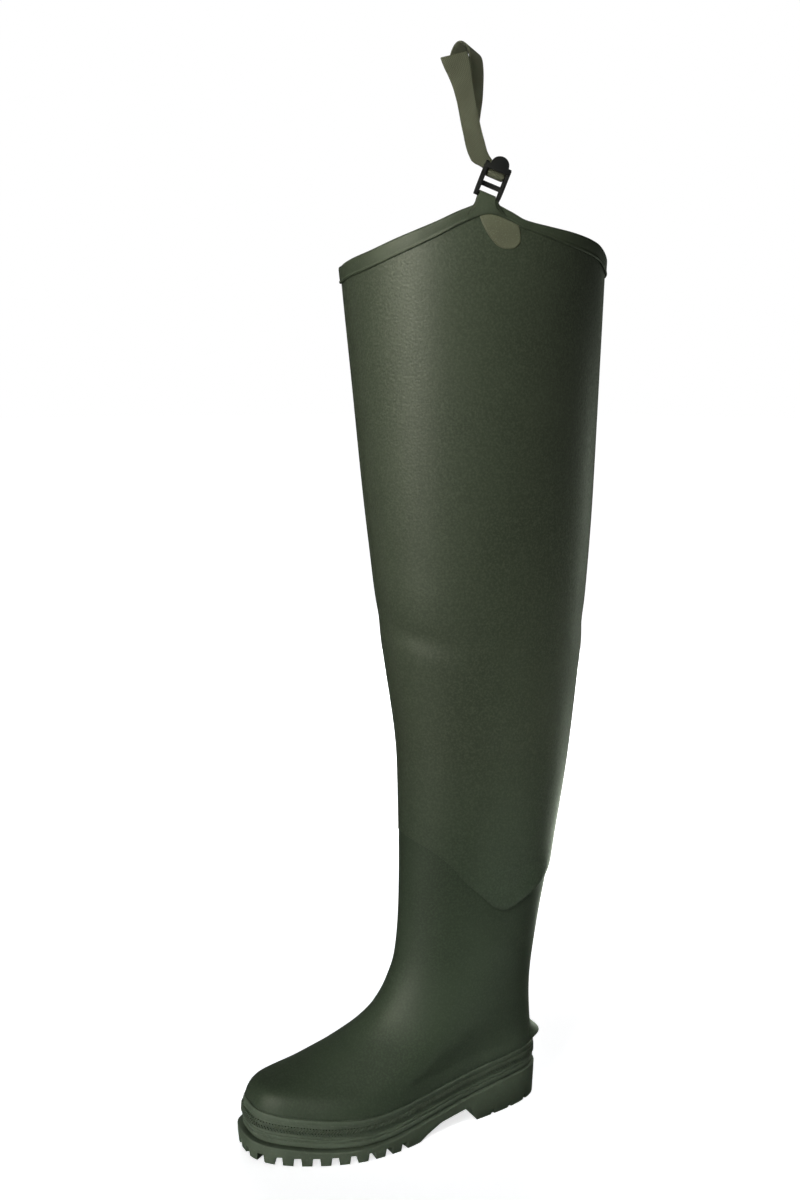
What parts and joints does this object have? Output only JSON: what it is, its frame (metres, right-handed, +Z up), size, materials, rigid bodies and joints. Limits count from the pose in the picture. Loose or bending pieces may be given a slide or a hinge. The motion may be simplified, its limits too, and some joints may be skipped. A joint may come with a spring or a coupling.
{
  "type": "hip wader",
  "caption": "Left hip wader: rubber boot with lugged sole and heel ledge, welded sheet leg flaring to a bound collar, and a webbing belt loop on a ladder buckle.",
  "frame": {"origin": "on the floor under the middle of the whole wader's box", "axes": "+Z up the leg, -Y towards the toe, +X towards the outer side of the left leg"},
  "size_m": [0.2044, 0.3578, 0.9734],
  "materials": {
    "boot_rubber": "smooth dark green moulded rubber, satin",
    "sole_rubber": "grey-green moulded rubber, matt",
    "leg_sheet": "olive coated sheet with a fine pebble grain, satin",
    "binding_sheet": "smooth brownish olive sheet, satin",
    "footbed": "dark grey felted footbed",
    "webbing": "olive woven webbing, matt",
    "buckle_plastic": "black moulded plastic, satin"
  },
  "bodies": {
    "root": {"outsole": "sole_rubber", "insole": "footbed", "upper": "boot_rubber", "rand": "sole_rubber", "heel_spur": "boot_rubber", "leg": "leg_sheet", "back_seam": "leg_sheet", "collar_binding": "binding_sheet", "outer_patch": "binding_sheet", "inner_patch": "binding_sheet", "buckle_tab": "binding_sheet", "buckle": "buckle_plastic", "belt_strap": "webbing"}
  },
  "joints": []
}
